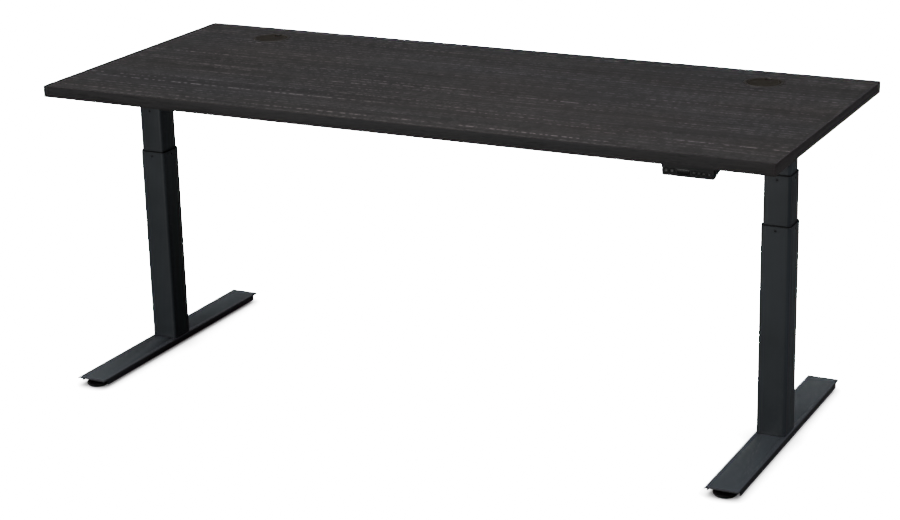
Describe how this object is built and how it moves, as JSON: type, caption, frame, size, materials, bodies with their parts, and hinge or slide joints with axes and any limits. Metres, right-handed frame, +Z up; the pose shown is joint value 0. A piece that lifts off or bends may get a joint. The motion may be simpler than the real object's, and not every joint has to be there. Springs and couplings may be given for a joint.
{
  "type": "height adjustable standing desk",
  "caption": "Rectangular dark woodgrain desk top with rear cable grommets on motor driven telescoping square columns with flat T feet and an under-edge handset.",
  "frame": {"origin": "on the floor, under the middle of the desk's overall outline seen from above", "axes": "+X along the desk to the seated user's right, +Y away from the user to the rear edge, +Z up"},
  "size_m": [1.8288, 0.791, 0.7522],
  "materials": {
    "laminate": "black woodgrain melamine laminate, satin",
    "edge_banding": "matching black woodgrain edge band",
    "powder_coat": "satin charcoal black powder coat",
    "zinc_steel": "zinc plated steel",
    "black_nylon": "black nylon",
    "nut_brass": "machined brass",
    "spindle_steel": "rolled thread steel",
    "gear_casting": "dark die casting",
    "motor_can": "black motor can",
    "grommet_plastic": "brown black moulded plastic",
    "glide_rubber": "black rubber",
    "handset_case": "black moulded plastic",
    "display_lens": "dark gloss display window",
    "key_rubber": "dark grey rubber keys"
  },
  "bodies": {
    "base": {"foot_left": "powder_coat", "foot_bolt_plate_left": "zinc_steel", "column_base_plate_left": "zinc_steel", "outer_tube_left": "powder_coat", "outer_collar_left": "black_nylon", "push_tube_left": "zinc_steel", "base_nut_left": "nut_brass", "foot_right": "powder_coat", "foot_bolt_plate_right": "zinc_steel", "column_base_plate_right": "zinc_steel", "outer_tube_right": "powder_coat", "outer_collar_right": "black_nylon", "push_tube_right": "zinc_steel", "base_nut_right": "nut_brass"},
    "top": {"inner_tube_left": "powder_coat", "inner_end_guide_left": "black_nylon", "gearbox_left": "gear_casting", "motor_left": "motor_can", "side_bracket_left": "powder_coat", "grommet_liner_left": "grommet_plastic", "inner_tube_right": "powder_coat", "inner_end_guide_right": "black_nylon", "gearbox_right": "gear_casting", "motor_right": "motor_can", "side_bracket_right": "powder_coat", "grommet_liner_right": "grommet_plastic", "cross_rail_front": "powder_coat", "cross_rail_rear": "powder_coat", "desktop": "laminate", "edge_band": "edge_banding", "control_box": "handset_case", "handset_case": "handset_case", "display_lens": "display_lens"},
    "mid_left": {"mid_tube_left": "powder_coat", "mid_collar_left": "black_nylon", "mid_end_guide_left": "black_nylon", "carrier_tube_left": "zinc_steel", "carrier_nut_left": "nut_brass"},
    "hollow_spindle_left": {"hollow_spindle_left": "spindle_steel"},
    "drive_spindle_left": {"drive_spindle_left": "spindle_steel"},
    "grommet_cap_left": {"grommet_cap_left": "grommet_plastic"},
    "glide_front_left": {"glide_front_left": "glide_rubber"},
    "glide_rear_left": {"glide_rear_left": "glide_rubber"},
    "mid_right": {"mid_tube_right": "powder_coat", "mid_collar_right": "black_nylon", "mid_end_guide_right": "black_nylon", "carrier_tube_right": "zinc_steel", "carrier_nut_right": "nut_brass"},
    "hollow_spindle_right": {"hollow_spindle_right": "spindle_steel"},
    "drive_spindle_right": {"drive_spindle_right": "spindle_steel"},
    "grommet_cap_right": {"grommet_cap_right": "grommet_plastic"},
    "glide_front_right": {"glide_front_right": "glide_rubber"},
    "glide_rear_right": {"glide_rear_right": "glide_rubber"},
    "key_up": {"key_up": "key_rubber"},
    "key_down": {"key_down": "key_rubber"},
    "key_preset_1": {"key_preset_1": "key_rubber"},
    "key_preset_2": {"key_preset_2": "key_rubber"},
    "key_preset_3": {"key_preset_3": "key_rubber"},
    "key_memory": {"key_memory": "key_rubber"}
  },
  "joints": [
    {"name": "lift", "type": "slide", "parent": "base", "child": "top", "axis": [0, 0, 1], "range_m": [-0.1, 0.55]},
    {"name": "mid_left_slide", "type": "slide", "parent": "base", "child": "mid_left", "axis": [0, 0, 1], "range_m": [-0.05, 0.275]},
    {"name": "hollow_spindle_left_turn", "type": "hinge", "parent": "mid_left", "child": "hollow_spindle_left", "pos_m": [-0.82, -0.0355, 0.3], "axis": [0, 0, 1], "continuous": true},
    {"name": "drive_spindle_left_turn", "type": "hinge", "parent": "top", "child": "drive_spindle_left", "pos_m": [-0.82, -0.0355, 0.45], "axis": [0, 0, 1], "continuous": true},
    {"name": "grommet_cap_left_turn", "type": "hinge", "parent": "top", "child": "grommet_cap_left", "pos_m": [-0.668, 0.2825, 0.7512], "axis": [0, 0, 1], "continuous": true},
    {"name": "glide_front_left_turn", "type": "hinge", "parent": "base", "child": "glide_front_left", "pos_m": [-0.82, -0.3655, 0.01], "axis": [0, 0, 1], "continuous": true},
    {"name": "glide_rear_left_turn", "type": "hinge", "parent": "base", "child": "glide_rear_left", "pos_m": [-0.82, 0.2945, 0.01], "axis": [0, 0, 1], "continuous": true},
    {"name": "mid_right_slide", "type": "slide", "parent": "base", "child": "mid_right", "axis": [0, 0, 1], "range_m": [-0.05, 0.275]},
    {"name": "hollow_spindle_right_turn", "type": "hinge", "parent": "mid_right", "child": "hollow_spindle_right", "pos_m": [0.82, -0.0355, 0.3], "axis": [0, 0, 1], "continuous": true},
    {"name": "drive_spindle_right_turn", "type": "hinge", "parent": "top", "child": "drive_spindle_right", "pos_m": [0.82, -0.0355, 0.45], "axis": [0, 0, 1], "continuous": true},
    {"name": "grommet_cap_right_turn", "type": "hinge", "parent": "top", "child": "grommet_cap_right", "pos_m": [0.668, 0.2825, 0.7512], "axis": [0, 0, 1], "continuous": true},
    {"name": "glide_front_right_turn", "type": "hinge", "parent": "base", "child": "glide_front_right", "pos_m": [0.82, -0.3655, 0.01], "axis": [0, 0, 1], "continuous": true},
    {"name": "glide_rear_right_turn", "type": "hinge", "parent": "base", "child": "glide_rear_right", "pos_m": [0.82, 0.2945, 0.01], "axis": [0, 0, 1], "continuous": true},
    {"name": "key_up_press", "type": "slide", "parent": "top", "child": "key_up", "axis": [0, 1, 0], "range_m": [0, 0.001], "stiffness_N_per_m": 1500, "springref_m": -0.0005},
    {"name": "key_down_press", "type": "slide", "parent": "top", "child": "key_down", "axis": [0, 1, 0], "range_m": [0, 0.001], "stiffness_N_per_m": 1500, "springref_m": -0.0005},
    {"name": "key_preset_1_press", "type": "slide", "parent": "top", "child": "key_preset_1", "axis": [0, 1, 0], "range_m": [0, 0.001], "stiffness_N_per_m": 1500, "springref_m": -0.0005},
    {"name": "key_preset_2_press", "type": "slide", "parent": "top", "child": "key_preset_2", "axis": [0, 1, 0], "range_m": [0, 0.001], "stiffness_N_per_m": 1500, "springref_m": -0.0005},
    {"name": "key_preset_3_press", "type": "slide", "parent": "top", "child": "key_preset_3", "axis": [0, 1, 0], "range_m": [0, 0.001], "stiffness_N_per_m": 1500, "springref_m": -0.0005},
    {"name": "key_memory_press", "type": "slide", "parent": "top", "child": "key_memory", "axis": [0, 1, 0], "range_m": [0, 0.001], "stiffness_N_per_m": 1500, "springref_m": -0.0005}
  ],
  "couplings": [
    {"joint": "mid_left_slide", "follows": "lift", "ratio": 0.5},
    {"joint": "hollow_spindle_left_turn", "follows": "lift", "rad_per_m": 314.16},
    {"joint": "drive_spindle_left_turn", "follows": "lift", "rad_per_m": 314.16},
    {"joint": "mid_right_slide", "follows": "lift", "ratio": 0.5},
    {"joint": "hollow_spindle_right_turn", "follows": "lift", "rad_per_m": 314.16},
    {"joint": "drive_spindle_right_turn", "follows": "lift", "rad_per_m": 314.16}
  ]
}
